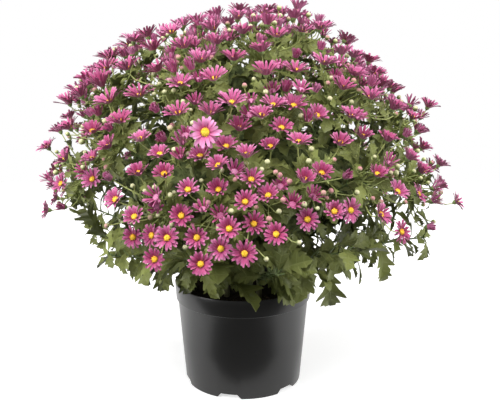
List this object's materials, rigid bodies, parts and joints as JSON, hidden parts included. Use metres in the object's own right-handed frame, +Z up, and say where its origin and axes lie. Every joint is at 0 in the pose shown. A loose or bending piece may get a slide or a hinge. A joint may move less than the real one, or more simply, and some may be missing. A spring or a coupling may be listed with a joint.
{
  "type": "pot chrysanthemum",
  "caption": "Domed bush of pink daisy blooms with yellow discs over lobed green leaves, in a round black nursery pot.",
  "frame": {"origin": "middle of the disc under the pot, on the surface that the pot stands on", "axes": "+Z up along the pot's axis; the side seen in the picture faces -Y; +X is to the viewer's right"},
  "size_m": [0.5739, 0.5517, 0.5497],
  "materials": {
    "black_plastic": "satin",
    "potting_soil": "matte",
    "green_foliage": "matte",
    "flower_spray": "matte"
  },
  "bodies": {
    "root": {"pot": "black_plastic", "soil": "potting_soil", "leafy_plant_0": "green_foliage", "leafy_plant_1": "green_foliage", "leafy_plant_2": "green_foliage", "leafy_plant_3": "green_foliage", "leafy_plant_4": "green_foliage", "leafy_plant_5": "green_foliage", "leafy_plant_6": "green_foliage", "spray_00": "flower_spray", "spray_01": "flower_spray", "spray_02": "flower_spray", "spray_03": "flower_spray", "spray_04": "flower_spray", "spray_05": "flower_spray", "spray_06": "flower_spray", "spray_07": "flower_spray", "spray_08": "flower_spray", "spray_09": "flower_spray", "spray_10": "flower_spray", "spray_11": "flower_spray", "spray_12": "flower_spray", "spray_13": "flower_spray", "spray_14": "flower_spray", "spray_15": "flower_spray", "spray_16": "flower_spray", "spray_17": "flower_spray", "spray_18": "flower_spray", "spray_19": "flower_spray", "spray_20": "flower_spray", "spray_21": "flower_spray", "spray_22": "flower_spray", "spray_23": "flower_spray", "spray_24": "flower_spray", "spray_25": "flower_spray", "spray_26": "flower_spray", "spray_27": "flower_spray", "spray_28": "flower_spray", "spray_29": "flower_spray", "spray_30": "flower_spray", "spray_31": "flower_spray", "spray_32": "flower_spray", "spray_33": "flower_spray", "spray_34": "flower_spray"}
  },
  "joints": []
}
